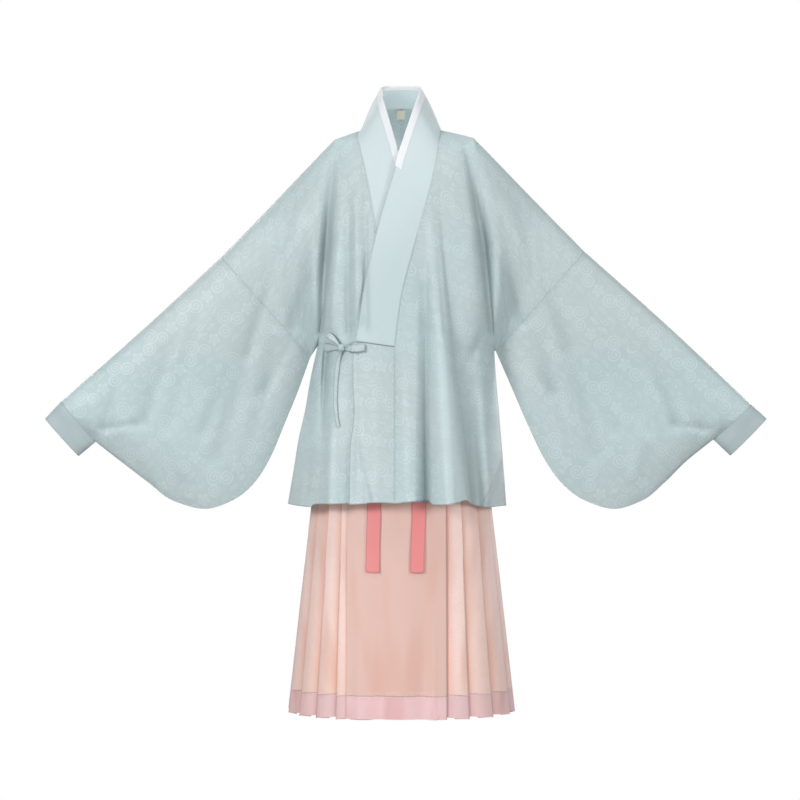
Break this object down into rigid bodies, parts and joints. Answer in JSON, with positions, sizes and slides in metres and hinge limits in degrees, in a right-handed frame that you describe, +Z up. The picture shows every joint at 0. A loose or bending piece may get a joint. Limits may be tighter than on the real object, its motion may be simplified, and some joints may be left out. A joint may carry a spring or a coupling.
{
  "type": "hanfu set",
  "caption": "Worn hollow hanfu set: short cross-collared coat with pipa sleeves, side bow and plain cuffs over a pleated horse-face skirt with hem band and ribbon ties.",
  "frame": {"origin": "base of the neck between the shoulders, where the wearer or a hanger carries the coat", "axes": "+X to the wearer's left, the viewer's right; +Y to the wearer's back; +Z up"},
  "size_m": [1.5667, 0.3929, 1.3566],
  "materials": {
    "coat_damask": "satin",
    "collar_plain": "matte",
    "guard_white": "matte",
    "label_cream": "matte",
    "skirt_peach": "matte",
    "band_mauve": "matte",
    "tie_coral": "matte"
  },
  "bodies": {
    "root": {"ao_body_left": "coat_damask", "ao_body_right": "coat_damask", "ao_bow_knot": "coat_damask", "ao_bow_loop_left": "coat_damask", "ao_bow_loop_right": "coat_damask", "ao_bow_tail": "coat_damask", "ao_collar": "collar_plain", "ao_collar_guard": "guard_white", "ao_cuff_left": "collar_plain", "ao_cuff_right": "collar_plain", "ao_neck_label": "label_cream", "ao_overlap_inner": "coat_damask", "ao_overlap_outer": "coat_damask", "ao_side_gore": "coat_damask", "ao_sleeve_left": "coat_damask", "ao_sleeve_right": "coat_damask", "ao_tie_front": "coat_damask", "ao_tie_side": "coat_damask", "skirt_band_left": "band_mauve", "skirt_band_right": "band_mauve", "skirt_half_left": "skirt_peach", "skirt_half_right": "skirt_peach", "skirt_tail_left": "tie_coral", "skirt_tail_right": "tie_coral", "skirt_tie_knot": "tie_coral", "skirt_tie_wrap": "tie_coral", "skirt_waistband": "tie_coral"}
  },
  "joints": []
}
